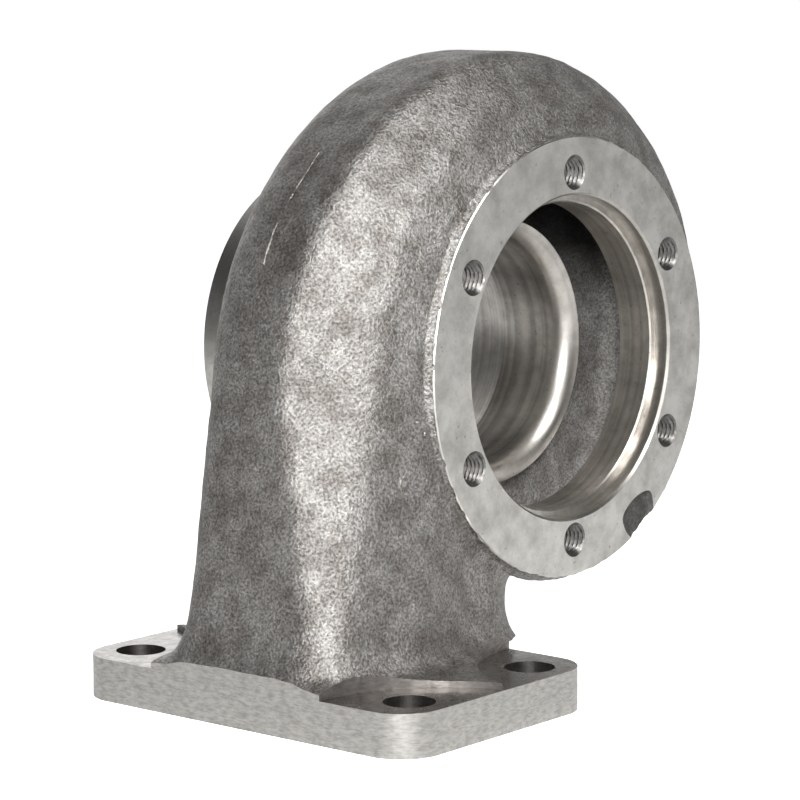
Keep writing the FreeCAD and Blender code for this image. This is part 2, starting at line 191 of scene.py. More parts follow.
def turned(name, profile, steps=144, material=None, centre=(AXIS_X, AXIS_Z)):
    """Solid turned about an axis along Y from (radius, y) points; rows run along the profile."""
    radius, along = np.asarray(profile, float).T
    angle = np.arange(steps) / steps * 2 * np.pi
    grid = np.stack(
        [
            centre[0] + radius[:, None] * np.cos(angle),
            np.repeat(along[:, None], steps, axis=1),
            centre[1] + radius[:, None] * np.sin(angle),
        ],
        axis=-1,
    )
    ring = radius[0] > 1 and radius[-1] > 1
    return tube(name, grid, material, ring)


def upright(name, profile, centre, steps=96, material=None):
    """Solid turned about a vertical axis from (radius, z) points."""
    radius, height = np.asarray(profile, float).T
    angle = np.arange(steps) / steps * 2 * np.pi
    grid = np.stack(
        [
            centre[0] + radius[:, None] * np.cos(angle),
            centre[1] + radius[:, None] * np.sin(angle),
            np.repeat(height[:, None], steps, axis=1),
        ],
        axis=-1,
    )
    return tube(name, grid, material)


# The path of scroll and neck: straight up the neck, then round the turbine axis
NECK_HEIGHTS = [9.7, 13.4, 19.7, 29.0, 45.0]
SHARES = np.linspace(0, 1, 13)
PATH_RADIUS = 55.0


def path_knots():
    """Distance along the path of each known section: below zero in the neck, above it round the scroll."""
    return np.concatenate([np.array(NECK_HEIGHTS) - AXIS_Z, SHARES * WRAP * PATH_RADIUS])


def on_path(distance, out, along):
    """Points from (distance along the path, distance from the turbine axis, y).

    Down the neck the sections lie level; round the scroll they stand in planes through the axis.
    """
    angle = np.maximum(distance, 0) / PATH_RADIUS
    drop = np.maximum(-distance, 0)
    angle, drop = np.broadcast_to(angle, out.shape), np.broadcast_to(drop, out.shape)
    return np.stack(
        [AXIS_X - out * np.cos(angle), along, AXIS_Z - drop + out * np.sin(angle)], axis=-1
    )


def reach_along(share):
    """Outer radius of the skin about the axis, by share of the wrap."""
    return smooth(np.arange(7) / 6, REACHES, share)


def mix(start, end, share, power=1.0):
    """Runs from start to end as share goes from 0 to 1."""
    return start + (end - start) * share**power


def skin_sections():
    """Corners and corner radii of the skin at every known section.

    Six corners: outer flank and shoulder, outer flank and back, back and hub, hub and ring level,
    ring level and front, front and shoulder. They come from nine values, given first for the neck from
    the foot up and then along the scroll: outer reach, inner side, front, the shoulder's depth and
    width, the place and level where the front meets the ring, back, and inner front corner.
    """
    s = SHARES
    scroll_level = RING_Y + mix(PAD, 0.9, s, 0.7)
    scroll = [
        reach_along(s), mix(35, 44, s), mix(-23, -20, s), mix(15.5, 3, s, 0.7), mix(16, 2, s, 0.8),
        mix(57, 47, s, 3), scroll_level, mix(24, 2, s, 1.6), scroll_level,
    ]
    spread = np.array([1.0, 1.0, 0.85, 0.72, 0.5])
    flare = np.array([1.0, 0.5, 0.12, 0.0, 0.0])
    straight = mix(87, AXIS_X + 33.2, spread)
    neck = [
        mix(straight, AXIS_X + 38.2, flare),
        AXIS_X - np.array([46.5, 43.4, 41.6, 41.4, 33.6]),
        np.array([-27.2, -27.0, -26.6, -26.0, -25.0]),
        np.array([6.5, 6.5, 6.5, 7.4, 9.5]),
        np.array([5.5, 5.5, 5.8, 7.5, 11.0]),
        np.array([67.0, 66.0, 64.0, 61.0, 57.0]),
        np.array([-34.0, -32.6, -31.4, -30.2, -28.4]),
        mix(24, 27.5, flare),
        np.array([-27.0, -24.6, -23.6, -24.0, -26.5]),
    ]
    both = [np.concatenate(pair) for pair in zip(neck, scroll)]
    reach, root, front, depth, width, meet, level, back, corner = both
    corners = np.stack(
        [
            np.stack([reach, front + depth], 1), np.stack([reach, back], 1), np.stack([root, back], 1),
            np.stack([root, corner], 1), np.stack([meet, level], 1), np.stack([reach - width, front], 1),
        ],
        axis=1,
    )
    ease = np.concatenate([np.ones(len(spread)), 1 - 0.75 * s])[:, None]
    radii = ease * np.array([6.0, 16.0, 8.0, 4.0, 4.0, 14.0])
    radii[:len(spread), 1] -= 8 * spread
    radii[:len(spread), 5] -= 5 * spread
    return corners, radii


def skin_grid(rows=170):
    """Cast skin of neck and scroll: rounded sections carried along the path."""
    knots = path_knots()
    corners, radii = skin_sections()
    at = np.linspace(knots[0], knots[-1], rows)
    corners = smooth(knots, corners.reshape(len(knots), -1), at).reshape(rows, 6, 2)
    radii = np.maximum(smooth(knots, radii, at), 0.3)
    outline = rounded(corners, radii)
    return on_path(at[:, None], outline[..., 0], outline[..., 1])


def passage_grid(rows=130):
    """Gas passage: port, neck and volute, one wall inside the skin."""
    s = SHARES
    outer = reach_along(s) - WALL
    outer[-1] = 46.5
    scroll = np.stack([outer, np.full_like(s, 34.0), mix(18.5, -7, s, 1.6), mix(11, 2.8, s)], axis=1)
    heights = np.array([-2.0, FOOT_Z, 45.0]) - AXIS_Z
    spread = np.array([1.0, 0.97, 0.45])
    neck = np.stack(
        [
            mix(81.5, AXIS_X + 27, spread), mix(34, AXIS_X - 27, spread), mix(18.5, 18, spread),
            mix(11, 8, spread),
        ],
        axis=1,
    )
    front = np.concatenate([mix(-14.5, -18, spread), np.full_like(s, -14.5)])
    knots = np.concatenate([heights, s * WRAP * PATH_RADIUS])
    table = np.column_stack([np.concatenate([neck, scroll]), front])
    at = np.linspace(knots[0], knots[-1], rows)
    outer, inner, back, radius, front = smooth(knots, table, at).T
    pairs = ((outer, front), (outer, back), (inner, back), (inner, front))
    corners = np.stack([np.stack(pair, 1) for pair in pairs], axis=1)
    outline = rounded(corners, np.repeat(radius[:, None], 4, axis=1))
    return on_path(at[:, None], outline[..., 0], outline[..., 1])


def foot_outline(grow=0.0, arc=10):
    """Rounded rectangle of the foot, grown on every side."""
    x, y = FOOT_X / 2 + grow, FOOT_Y / 2 + grow
    corners = np.array([[[-x, -y], [x, -y], [x, y], [-x, y]]])
    return rounded(corners, np.full((1, 4), FOOT_CORNER + grow), arc=arc, side=8)[0]


def prism(name, outline, heights, material=None):
    """Upright solid over a plan outline."""
    grid = np.stack([np.column_stack([outline, np.full(len(outline), z)]) for z in heights])
    return tube(name, grid, material)


# Mesh handling
def read_points(thing):
    """Vertex positions in millimetres."""
    points = np.empty(len(thing.data.vertices) * 3)
    thing.data.vertices.foreach_get("co", points)
    return points.reshape(-1, 3) / MM


def write_points(thing, points):
    """Put vertex positions in millimetres back."""
    thing.data.vertices.foreach_set("co", (points * MM).ravel())
    thing.data.update()


def vertex_normals(thing):
    """Normals of the vertices."""
    normals = np.empty(len(thing.data.vertices) * 3)
    thing.data.vertex_normals.foreach_get("vector", normals)
    return normals.reshape(-1, 3)


def bake(thing):
    """Apply the modifiers."""
    graph = bpy.context.evaluated_depsgraph_get()
    mesh = bpy.data.meshes.new_from_object(thing.evaluated_get(graph), depsgraph=graph)
    old = thing.data
    thing.modifiers.clear()
    thing.data = mesh
    mesh.name = thing.name
    bpy.data.meshes.remove(old)


def discard(thing):
    """Delete an object with its mesh."""
    mesh = thing.data
    bpy.data.objects.remove(thing)
    bpy.data.meshes.remove(mesh)


def joined(name, things):
    """One object from several, their meshes laid side by side."""
    points, faces, offset = [], [], 0
    for thing in things:
        points.append(read_points(thing))
        faces += [[v + offset for v in face.vertices] for face in thing.data.polygons]
        offset += len(thing.data.vertices)
        discard(thing)
    return new_object(name, np.concatenate(points), faces)


def neighbour_mean(points, edges, count):
    """Mean position of the vertices that share an edge with each vertex."""
    total = np.zeros((len(points), 3))
    for axis in range(3):
        total[:, axis] = np.bincount(edges[:, 0], points[edges[:, 1], axis], len(points))
        total[:, axis] += np.bincount(edges[:, 1], points[edges[:, 0], axis], len(points))
    return total / count[:, None]


def fillet_and_soften(thing, fills=60, passes=14):
    """Cast radii: first only hollow corners fill up, then the whole skin softens.

    Each pass moves every vertex half way to the mean of its neighbours; a fill keeps only the part
    of that move that goes outwards.
    """
    points = read_points(thing)
    edges = np.empty(len(thing.data.edges) * 2, int)
    thing.data.edges.foreach_get("vertices", edges)
    edges = edges.reshape(-1, 2)
    count = np.bincount(edges.ravel(), minlength=len(points)).astype(float)
    normals = vertex_normals(thing)
    for step in range(fills):
        if step % 10 == 9:
            write_points(thing, points)
            normals = vertex_normals(thing)
        move = neighbour_mean(points, edges, count) - points
        out = (move * normals).sum(1)
        filled = 0.5 * normals * np.maximum(out - 0.004, 0)[:, None]
        points += filled + 0.15 * (move - normals * out[:, None])
    for _ in range(passes):
        points += 0.5 * (neighbour_mean(points, edges, count) - points)
    write_points(thing, points)


def waves(points, count, longest, shortest, seed):
    """Smooth seeded noise: the mean of many sine waves with random directions, lengths and phases."""
    draw = np.random.default_rng(seed)
    direction = draw.normal(size=(count, 3))
    direction /= np.linalg.norm(direction, axis=1, keepdims=True)
    length = shortest * (longest / shortest) ** draw.random(count)
    phase = draw.random(count) * 2 * np.pi
    total = np.zeros(len(points))
    for d, l, p in zip(direction, length, phase):
        total += np.sin(points @ d * (2 * np.pi / l) + p)
    return total / math.sqrt(count / 2)


def subtract(thing, cutter, operation="DIFFERENCE"):
    """Machine the cutter's shape away; the new faces take the cutter's material."""
    for material in cutter.data.materials:
        if material.name not in thing.data.materials:
            thing.data.materials.append(material)
    modifier = thing.modifiers.new("cut", "BOOLEAN")
    modifier.operation = operation
    modifier.solver = "MANIFOLD"
    modifier.material_mode = "TRANSFER"
    modifier.object = cutter
    bake(thing)
    discard(cutter)


def unite(thing, other):
    """Fuse another solid on."""
    subtract(thing, other, "UNION")


def ring_pad():
    """Cast pad under the ring face: a disc whose rim slopes and rounds out into the skin below.

    The radius over the depth under the face is a quarter round that flares at its foot; seeded waves
    of a few millimetres along the rim leave it as uneven as sand leaves it.
    """
    steps = 420
    left_end = math.radians(155)
    depth = np.array([-2.0, -0.6, 0.0, 0.35, 0.7, 1.05, 1.4, 1.8, 2.3, 3.0, 4.5])
    out = np.array([-0.6, -0.25, 0.0, 0.2, 0.42, 0.68, 1.0, 1.5, 2.3, 3.0, 3.0])
    angle = np.arange(steps) / steps * 2 * np.pi
    left = 0.5 + 0.5 * np.cos(angle - left_end)
    radius = RING_RADIUS + (out[:, None] * (0.15 + 0.85 * left))
    place = np.stack(
        [
            AXIS_X + radius * np.cos(angle), np.repeat(RING_Y + depth[:, None], steps, 1),
            AXIS_Z + radius * np.sin(angle),
        ],
        axis=-1,
    )
    wobble = waves(place.reshape(-1, 3), 60, 7, 1.6, 12).reshape(radius.shape)
    radius = radius + 0.1 * wobble
    place[..., 0] = AXIS_X + radius * np.cos(angle)
    place[..., 2] = AXIS_Z + radius * np.sin(angle)
    return place


def ball(centre, radii, steps=12):
    """Small solid lens: the unit sphere by polar angle and turn, times its (x, y, z) radii."""
    polar = np.linspace(0, np.pi, steps)[1:-1, None]
    turn = np.arange(2 * steps) / steps * np.pi
    unit = np.stack(
        [np.sin(polar) * np.cos(turn), -np.cos(polar) + 0 * turn, np.sin(polar) * np.sin(turn)], axis=-1
    )
    return tube("ball", np.array(centre) + unit * np.array(radii), SKIN)


def ridge(path, radius, steps=8):
    """Parting flash: a thin bead along a path.

    Each point is the path plus the radius times the cosine and sine of a turn across it; seeded waves
    of a few millimetres make the radius uneven.
    """
    path = smooth(np.arange(len(path)), np.array(path), np.linspace(0, len(path) - 1, 90))
    along = np.gradient(path, axis=0)
    along /= np.linalg.norm(along, axis=1, keepdims=True)
    side = np.cross(along, [0, 1, 0])
    side /= np.linalg.norm(side, axis=1, keepdims=True)
    over = np.cross(side, along)
    angle = np.arange(steps) / steps * 2 * np.pi
    uneven = radius * np.clip(0.85 + 0.35 * waves(path, 30, 6, 1.2, 8), 0.3, 1.3)
    swing = np.cos(angle)[:, None] * side[:, None] + np.sin(angle)[:, None] * over[:, None]
    return tube("ridge", path[:, None] + uneven[:, None, None] * swing, SKIN)


def pimple(centre):
    """Round blister with a sunk middle: a short profile turned about its own axis along Y."""
    profile = [(0.0, 0.3), (1.0, 0.1), (1.8, -0.35), (2.5, -0.45), (3.0, 0.0), (3.2, 1.5), (0.0, 1.5)]
    shifted = [(radius, centre[1] + depth) for radius, depth in profile]
    return turned("pimple", shifted, 36, SKIN, (centre[0], centre[2]))


def tapped_hole(centre):
    """Cutter of a tapped M8 hole: the radius follows the thread's helix under a countersink.

    The radius at an angle and a depth is the core plus a triangle wave of the turn count, which is the
    depth over the pitch less the angle in turns, fading in at the mouth and out towards the bottom.
    """
    pitch, core, height, steps = 1.25, 3.35, 0.68, 36
    depth = np.concatenate([[-1.0, 0.0], np.arange(0.15, 13.5, pitch / 5), [14.5, 17.0]])
    angle = np.arange(steps) / steps * 2 * np.pi
    turn = (depth[:, None] / pitch - angle / (2 * np.pi)) % 1.0
    wave = 1 - np.abs(2 * turn - 1)
    fade = np.clip((14.5 - depth) / 1.5, 0, 1)[:, None]
    mouth = np.maximum(4.45 - np.maximum(depth, 0), 0)[:, None]
    radius = np.maximum(core + height * np.clip(1.15 * wave - 0.1, 0, 1) * fade, mouth)
    radius[0] = radius[1] = 4.45
    grid = np.stack(
        [
            centre[0] + radius * np.cos(angle),
            np.repeat(RING_Y + depth[:, None], steps, axis=1),
            centre[1] + radius * np.sin(angle),
        ],
        axis=-1,
    )
    return tube("tap", grid, THREAD)


def rim_relief():
    """Cutter of the unmachined hollow at the ring's rim: an uneven outline sunk with sloping sides."""
    outline = smooth_loop(np.array(RELIEF), 6)
    middle = outline.mean(axis=0)
    rows = []
    for share, depth in ((1.06, -1.0), (1.0, 0.0), (0.93, 0.7), (0.8, 1.3)):
        ring = middle + (outline - middle) * share
        rows.append(np.column_stack([ring[:, 0], np.full(len(ring), RING_Y + depth), ring[:, 1]]))
    return np.stack(rows)


def smooth_loop(points, cuts):
    """Closed loop through a few points, rounded by a cubic curve."""
    count = len(points)
    wrapped = np.concatenate([points[-2:], points, points[:3]])
    at = np.arange(count * cuts) / cuts + 2
    return smooth(np.arange(len(wrapped)), wrapped, at)


def shade(thing):
    """Smooth shading on cast and turned surfaces, with crisp edges between machined faces.

    An edge is sharp where two materials meet, where machined faces meet at over 12 degrees, or where
    any faces meet at over 50 degrees.
    """
    mesh = thing.data
    count = len(mesh.polygons)
    material = np.empty(count, int)
    mesh.polygons.foreach_get("material_index", material)
    normal = np.empty(count * 3)
    mesh.polygons.foreach_get("normal", normal)
    normal = normal.reshape(-1, 3)
    loop_edge = np.empty(len(mesh.loops), int)
    mesh.loops.foreach_get("edge_index", loop_edge)
    size = np.empty(count, int)
    mesh.polygons.foreach_get("loop_total", size)
    face = np.repeat(np.arange(count), size)
    order = np.argsort(loop_edge, kind="stable")
    pairs = face[order].reshape(-1, 2)
    cosine = (normal[pairs[:, 0]] * normal[pairs[:, 1]]).sum(1)
    cast = [i for i, m in enumerate(mesh.materials) if m in (SKIN, INSIDE, UNCUT)]
    machined = ~np.isin(material[pairs], cast).any(axis=1)
    sharp = (material[pairs[:, 0]] != material[pairs[:, 1]]) | (cosine < math.cos(math.radians(50)))
    sharp |= machined & (cosine < math.cos(math.radians(12)))
    mesh.polygons.foreach_set("use_smooth", np.ones(count, bool))
    attribute = mesh.attributes.get("sharp_edge") or mesh.attributes.new("sharp_edge", "BOOLEAN", "EDGE")
    attribute.data.foreach_set("value", sharp)
    mesh.update()


# Materials
def linear(hex_colour):
    """sRGB hex to linear RGBA."""
    values = [int(hex_colour[i:i + 2], 16) / 255 for i in (0, 2, 4)]
    return [v / 12.92 if v <= 0.04045 else ((v + 0.055) / 1.055) ** 2.4 for v in values] + [1.0]


def add(tree, kind, settings=None, **links):
    """Add a node.

    Settings are properties, socket values or the stops of a colour ramp. A link names the socket to
    feed, with _ for a space, or i and its number; it comes from an output or a node's first output.
    """
    node = tree.nodes.new(kind)
    for key, value in (settings or {}).items():
        if key == "stops":
            for element, (position, colour) in zip(node.color_ramp.elements, value):
                element.position = position
                element.color = linear(colour)
        elif isinstance(key, int) or key in node.inputs:
            node.inputs[key].default_value = value
        else:
            setattr(node, key, value)
    for key, source in links.items():
        numbered = key[0] == "i" and key[1:].isdigit()
        socket = node.inputs[int(key[1:]) if numbered else key.replace("_", " ")]
        tree.links.new(source.outputs[0] if isinstance(source, bpy.types.Node) else source, socket)
    return node


def new_material(name):
    """Material with an empty tree, and the object's coordinates in it."""
    material = bpy.data.materials.new(name)
    material.use_nodes = True
    tree = material.node_tree
    tree.nodes.clear()
    place = add(tree, "ShaderNodeTexCoord").outputs["Object"]
    return material, tree, place


def lighter(hex_colour, step):
    """The hex colour with a step added to each channel."""
    return "".join("%02x" % min(255, max(0, int(hex_colour[i:i + 2], 16) + step)) for i in (0, 2, 4))


# Sizes of the patterns in millimetres. Moulding sand is about 0.3 mm, drawn twice as wide to show
SAND = 0.65
CLUMP = 2.4
PATCH = 7.0
PIT = 1.1
STAIN = 8.0
TOOL_BAND = 2.5
MULTIPLY = {"data_type": "RGBA", "blend_type": "MULTIPLY", "Factor": 1.0}


def cast_iron(name, dark, light, roughness, metal, painted_shade=None):
    """Sand-cast grey iron, blasted clean.

    The skin copies the sand: grains that glint where they face the light and hold dark scale between
    them, over shallow lumps of a few millimetres. Painted shade, given as two heights in millimetres,
    darkens the wall from the first height up to the second.
    """
    material, tree, place = new_material(name)
    sand_pattern = {"Scale": 1 / (SAND * MM), "Detail": 3.0, "Roughness": 0.62}
    sand = add(tree, "ShaderNodeTexNoise", sand_pattern, Vector=place)
    clump_pattern = {"Scale": 1 / (CLUMP * MM), "Detail": 2.0, "Roughness": 0.55}
    clumps = add(tree, "ShaderNodeTexNoise", clump_pattern, Vector=place)
    patches = add(tree, "ShaderNodeTexNoise", {"Scale": 1 / (PATCH * MM), "Detail": 4.0}, Vector=place)
    tone = add(tree, "ShaderNodeValToRGB", {"stops": [(0.36, dark), (0.66, light)]}, Fac=sand)
    stain = add(tree, "ShaderNodeValToRGB", {"stops": [(0.35, "cfcbc8"), (0.62, "ffffff")]}, Fac=patches)
    surface = add(tree, "ShaderNodeMix", MULTIPLY, A=tone, B=stain).outputs["Result"]
    # Painted shade: the colour darkens from the first height up to the second
    if painted_shade:
        height = add(tree, "ShaderNodeSeparateXYZ", None, Vector=place).outputs["Z"]
        rise = {"From Min": painted_shade[0] * MM, "From Max": painted_shade[1] * MM, "To Min": 1.0, "To Max": 0.1}
        shadow = add(tree, "ShaderNodeMapRange", rise, Value=height)
        surface = add(tree, "ShaderNodeMix", MULTIPLY, A=surface, B=shadow).outputs["Result"]
    gloss = {"From Min": 0.3, "From Max": 0.7, "To Min": roughness + 0.08, "To Max": roughness - 0.08}
    dulness = add(tree, "ShaderNodeMapRange", gloss, Value=clumps)
    lumps = add(tree, "ShaderNodeBump", {"Strength": 1.0, "Distance": 0.3 * MM}, Height=clumps)
    grain = add(tree, "ShaderNodeBump", {"Strength": 1.0, "Distance": 0.32 * MM}, Height=sand, Normal=lumps)
    sockets = {"Base_Color": surface, "Roughness": dulness, "Normal": grain}
    shader = add(tree, "ShaderNodeBsdfPrincipled", {"Metallic": metal}, **sockets)
    add(tree, "ShaderNodeOutputMaterial", None, Surface=shader)
    return material


def turned_iron(name, colour, roughness, pitch, rings=0.0):
    """Iron turned in a lathe: bare metal with rings of tool marks about the turbine axis.

    The marks are noise of the distance from the axis plus the distance along it, one pitch of the tool
    wide. Dull stains and dark pits lie over them. Rings above zero makes whole bands of marks darker,
    as a tool that chatters leaves them.
    """
    material, tree, place = new_material(name)
    from_centre = {"operation": "SUBTRACT", 1: (AXIS_X * MM, 0, AXIS_Z * MM)}
    centred = add(tree, "ShaderNodeVectorMath", from_centre, i0=place)
    flat = add(tree, "ShaderNodeVectorMath", {"operation": "MULTIPLY", 1: (1, 0, 1)}, i0=centred)
    radius = add(tree, "ShaderNodeVectorMath", {"operation": "LENGTH"}, i0=flat).outputs["Value"]
    along = add(tree, "ShaderNodeSeparateXYZ", None, Vector=place).outputs["Y"]
    travel = add(tree, "ShaderNodeMath", {"operation": "ADD"}, i0=radius, i1=along)
    fine = {"noise_dimensions": "1D", "Scale": 1 / (pitch * MM), "Detail": 3.0}
    marks = add(tree, "ShaderNodeTexNoise", fine, W=travel)
    broad = {"noise_dimensions": "1D", "Scale": 1 / (TOOL_BAND * MM), "Detail": 3.0}
    bands = add(tree, "ShaderNodeTexNoise", broad, W=travel)
    stain_pattern = {"Scale": 1 / (STAIN * MM), "Detail": 6.0, "Roughness": 0.68}
    stains = add(tree, "ShaderNodeTexNoise", stain_pattern, Vector=place)
    pits = add(tree, "ShaderNodeTexNoise", {"Scale": 1 / (PIT * MM), "Detail": 2.0}, Vector=place)
    tones = [(0.36, lighter(colour, -24)), (0.62, lighter(colour, 10))]
    tone = add(tree, "ShaderNodeValToRGB", {"stops": tones}, Fac=stains)
    banding = {"From Min": 0.35, "From Max": 0.6, "To Min": 1.0 - rings, "To Max": 1.0}
    banded = add(tree, "ShaderNodeMapRange", banding, Value=bands)
    pitting = {"From Min": 0.24, "From Max": 0.32, "To Min": 0.55, "To Max": 1.0}
    pitted = add(tree, "ShaderNodeMapRange", pitting, Value=pits)
    marked = add(tree, "ShaderNodeMath", {"operation": "MULTIPLY"}, i0=banded, i1=pitted)
    surface = add(tree, "ShaderNodeMix", MULTIPLY, A=tone, B=marked).outputs["Result"]
    gloss = {"From Min": 0.35, "From Max": 0.65, "To Min": roughness + 0.06, "To Max": roughness - 0.05}
    dulness = add(tree, "ShaderNodeMapRange", gloss, Value=stains)
    grooves = add(tree, "ShaderNodeBump", {"Strength": 1.0, "Distance": 0.02 * MM}, Height=marks)
    sockets = {"Base_Color": surface, "Roughness": dulness, "Normal": grooves}
    shader = add(tree, "ShaderNodeBsdfPrincipled", {"Metallic": 1.0}, **sockets)
    add(tree, "ShaderNodeOutputMaterial", None, Surface=shader)
    return material


def milled_iron(name, colour, roughness, stretch, size):
    """Iron milled, drilled or tapped: bare metal with streaks of a size, and small dull specks.

    Stretch squeezes the streaks along the axes; the tone is the mean of streaks and specks.
    """
    material, tree, place = new_material(name)
    drawn_out = add(tree, "ShaderNodeVectorMath", {"operation": "MULTIPLY", 1: stretch}, i0=place)
    streak_pattern = {"Scale": 1 / (size * MM), "Detail": 4.0, "Roughness": 0.65}
    streaks = add(tree, "ShaderNodeTexNoise", streak_pattern, Vector=drawn_out)
    widened = add(tree, "ShaderNodeVectorMath", {"operation": "MULTIPLY", 1: (0.5, 0.5, 1.0)}, i0=place)
    speck_pattern = {"Scale": 1 / (PIT * MM), "Detail": 3.0, "Roughness": 0.6}
    specks = add(tree, "ShaderNodeTexNoise", speck_pattern, Vector=widened)
    total = add(tree, "ShaderNodeMath", {"operation": "ADD"}, i0=streaks, i1=specks)
    mean = add(tree, "ShaderNodeMath", {"operation": "MULTIPLY", 1: 0.5}, i0=total)
    tones = [(0.4, lighter(colour, -14)), (0.6, lighter(colour, 16))]
    tone = add(tree, "ShaderNodeValToRGB", {"stops": tones}, Fac=mean)
    gloss = {"From Min": 0.3, "From Max": 0.7, "To Min": roughness + 0.06, "To Max": roughness - 0.05}
    dulness = add(tree, "ShaderNodeMapRange", gloss, Value=streaks)
    grooves = add(tree, "ShaderNodeBump", {"Strength": 1.0, "Distance": 0.03 * MM}, Height=streaks)
    sockets = {"Base_Color": tone, "Roughness": dulness, "Normal": grooves}
    shader = add(tree, "ShaderNodeBsdfPrincipled", {"Metallic": 1.0}, **sockets)
    add(tree, "ShaderNodeOutputMaterial", None, Surface=shader)
    return material


# Outer skin as the sand left it: mid grey, half shiny, sparkling in the light
SKIN = cast_iron("cast_iron_sand_skin", "676563", "aaa8a4", 0.47, 0.85)
# Walls that the sand core shaped: duller, and darkened by painted shade towards the volute's roof
INSIDE = cast_iron("cast_iron_core_skin", "6a6866", "b0aeaa", 0.55, 0.3, (86.0, 106.0))
# Low places that the tool missed: dark scale
UNCUT = cast_iron("cast_iron_uncut", "403e3c", "5e5c5a", 0.6, 0.5)
# Faces turned on a lathe: pale and satin, with faint rings
TURNED = turned_iron("turned_iron", "c8c6c1", 0.34, 0.35)
# Bores turned at a finer feed: bright, with darker bands
BORED = turned_iron("bored_iron", "c6c2bc", 0.33, 0.25, 0.3)
# Sides of the foot, milled along its edges: pale grey with fine level streaks
MILLED = milled_iron("milled_iron", "aeaca8", 0.44, (0.16, 0.16, 1.0), 0.35)
# Floors of the spotfaces: smooth, so they mirror the dark neck
SPOTFACED = milled_iron("spotfaced_iron", "a7a39f", 0.24, (1, 1, 1), 3.0)
# Walls that the spotfacing cutter left: darker and rougher
SPOTWALL = milled_iron("spotface_wall", "7e7a77", 0.52, (0.3, 0.3, 1), 0.7)
# Bolt holes, drilled: dull, with level marks, and darker than the bores as painted shade inside the holes
DRILLED = milled_iron("drilled_iron", "7a7774", 0.35, (1, 1, 0.1), 0.7)
# Threads cut by a tap: dark as painted shade inside the holes, with light on their flanks
THREAD = milled_iron("tapped_thread", "6c6a68", 0.36, (1, 1, 1), 0.6)


# The raw casting: skin, hub with ring, and foot, fused by a remesh, with cast radii and relief
VOXEL = 1.2 * MM
RING_BACK = RING_Y + 7
skin = tube("skin", skin_grid())
hub = turned(
    "hub",
    [
        (0, RING_Y + PAD + 0.3), (RING_RADIUS - 0.5, RING_Y + PAD + 0.3), (RING_RADIUS, RING_Y + PAD + 0.8),
        (RING_RADIUS, RING_BACK), (50.5, -15.5), (49, -12.5), (45, 19), (45, 41), (47.5, 44),
        (47.5, OUTLET_Y + 1), (0, OUTLET_Y + 1),
    ],
)
foot = prism("foot", foot_outline(STOCK), [-STOCK, 2, 6, FOOT_Z + FOOT_RISE])
casting = joined("casting", [skin, hub, foot])
remesh = casting.modifiers.new("remesh", "REMESH")
remesh.mode = "VOXEL"
remesh.voxel_size = VOXEL
bake(casting)
fillet_and_soften(casting)
points = read_points(casting)
normals = vertex_normals(casting)
relief = 0.05 * waves(points, 40, 40, 14, 3) + 0.035 * waves(points, 60, 9, 4, 5)
forward = np.clip(-normals[:, 1] - 0.3, 0, 1)
level = np.exp(-(((points[:, 2] - RELIEF_Z) / 11.0) ** 4))
relief -= HOLLOW_DEPTH * np.exp(-(((points[:, 0] - HOLLOW_X) / 4.0) ** 2)) * level * forward
relief += RIB_HEIGHT * np.exp(-(((points[:, 0] - RIB_X) / 4.5) ** 2)) * level * forward
points += normals * relief[:, None]
write_points(casting, points)
casting.data.materials.append(SKIN)
unite(casting, tube("ring_pad", ring_pad(), SKIN))
unite(casting, ridge(FLASH, FLASH_RADIUS))
unite(casting, pimple(PIMPLE))
for place in BUMPS:
    unite(casting, ball(place, BUMP_RADII))

# Machining, in the order of a workshop: passage by its core, ring, bores, outlet, foot, holes
subtract(casting, tube("passage", passage_grid(), INSIDE))
facing = [(0, RING_Y - 9), (70, RING_Y - 9), (70, RING_Y), (0, RING_Y)]
subtract(casting, turned("facing", facing, material=TURNED))
BEVEL = 0.28
rim = [
    (RING_RADIUS + 0.1 - BEVEL, RING_Y - 1), (RING_RADIUS + 0.1 - BEVEL, RING_Y),
    (RING_RADIUS + 0.1, RING_Y + BEVEL), (RING_RADIUS + 4, RING_Y + BEVEL), (RING_RADIUS + 4, RING_Y - 1),
]
subtract(casting, turned("rim", rim, 288, TURNED))
turn = np.linspace(0, np.pi / 2, 9)
lip = [(SHROUD + LIP * (1 - math.sin(a)), RING_Y + 24 + LIP * (1 - math.cos(a))) for a in turn]
bore = [
    (0, RING_Y - 1), (REGISTER + 0.6, RING_Y - 1), (REGISTER + 0.6, RING_Y), (REGISTER, RING_Y + 0.6),
    (REGISTER, RING_Y + 4.5), (CHAMBER + 0.4, RING_Y + 4.5), (CHAMBER, RING_Y + 4.9),
    (CHAMBER, RING_Y + 24), *lip, (SHROUD, RING_Y + 46), (OUTLET_BORE, OUTLET_Y),
    (OUTLET_BORE, OUTLET_Y + 2), (0, OUTLET_Y + 2),
]
subtract(casting, turned("bore", bore, material=BORED))
outlet = [
    (OUTLET_GROOVE, 44.9), (OUTLET_GROOVE, 50.2), (OUTLET_RADIUS, 52.2), (OUTLET_RADIUS, OUTLET_Y - 0.5),
    (OUTLET_RADIUS - 0.5, OUTLET_Y), (OUTLET_BORE - 1, OUTLET_Y), (OUTLET_BORE - 1, OUTLET_Y + 3),
    (60, OUTLET_Y + 3), (60, 44.9),
]
subtract(casting, turned("outlet_turning", outlet, material=TURNED))
MILL_TOP = FOOT_Z + 1.9
FLARE_TOP = FOOT_Z + 9.0
BELOW = -6.0
edge, clear = foot_outline(), foot_outline(30)
band = [(edge, BELOW), (edge, MILL_TOP), (clear, MILL_TOP), (clear, BELOW)]
sides = np.stack([np.column_stack([outline, np.full(len(outline), z)]) for outline, z in band])
subtract(casting, tube("foot_sides", sides, MILLED, ring=True))
flush = np.array([(-60, -50), (-FOOT_X / 2, -50), (-FOOT_X / 2, 50), (-60, 50)])
subtract(casting, prism("flare_side", flush, [BELOW, FLARE_TOP], MILLED))
subtract(casting, prism("foot_base", foot_outline(20), [-8.0, 0.0], MILLED))
